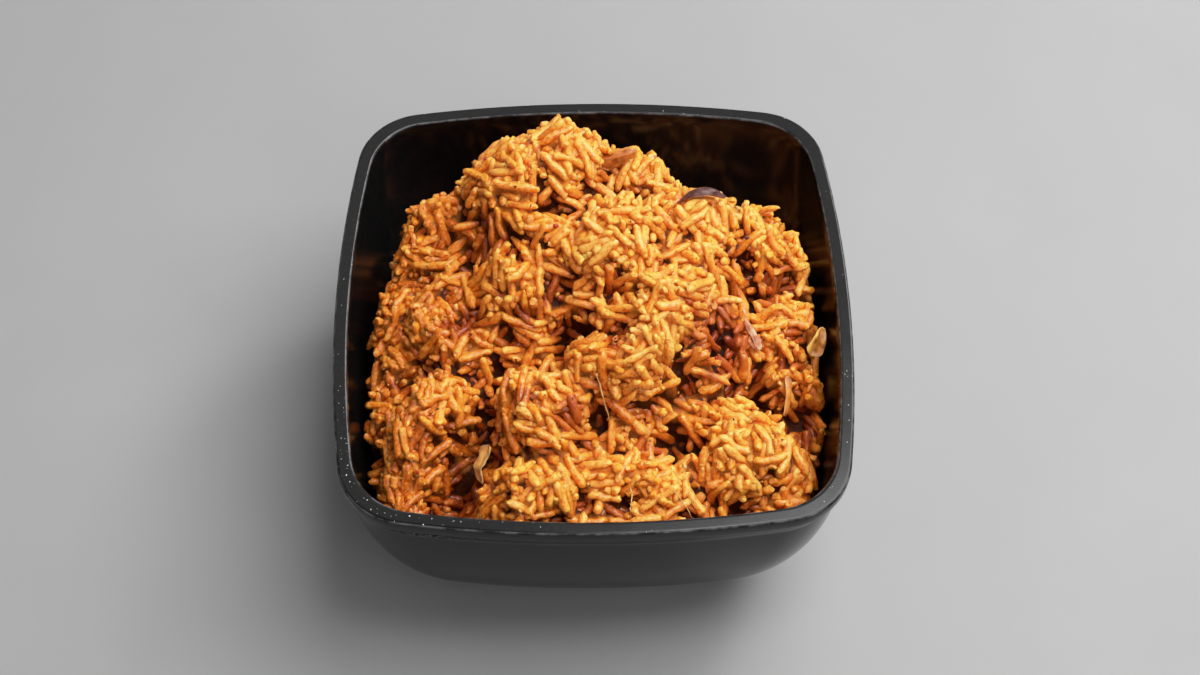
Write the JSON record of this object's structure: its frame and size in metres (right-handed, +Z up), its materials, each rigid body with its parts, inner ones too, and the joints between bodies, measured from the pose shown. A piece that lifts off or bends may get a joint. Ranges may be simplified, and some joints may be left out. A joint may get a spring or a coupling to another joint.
{
  "type": "bowl of jollof rice",
  "caption": "Jollof rice heaped in lumps well above the rim of a glossy black square bowl with rounded corners, with onion, pepper and tomato slices in the rice.",
  "frame": {"origin": "middle of the bowl's foot, on the surface the bowl stands on", "axes": "+Z up; the front of the bowl faces -Y and +X is to the right seen from the front"},
  "size_m": [0.155, 0.155, 0.1078],
  "materials": {
    "black_melamine": "glossy black melamine",
    "jollof_rice": "oily orange cooked long-grain rice",
    "red_onion": "glossy cooked purple onion skin side",
    "pale_onion": "translucent cooked pale onion",
    "bell_pepper": "translucent cooked yellow pepper with reddish flesh",
    "tomato_flesh": "wet folded cooked tomato skin"
  },
  "bodies": {
    "root": {"bowl": "black_melamine", "rice_heap": "jollof_rice", "onion_slice": "red_onion", "onion_sliver": "red_onion", "onion_strip": "pale_onion", "onion_curl": "pale_onion", "pepper_piece": "bell_pepper", "tomato_skin": "tomato_flesh"}
  },
  "joints": []
}
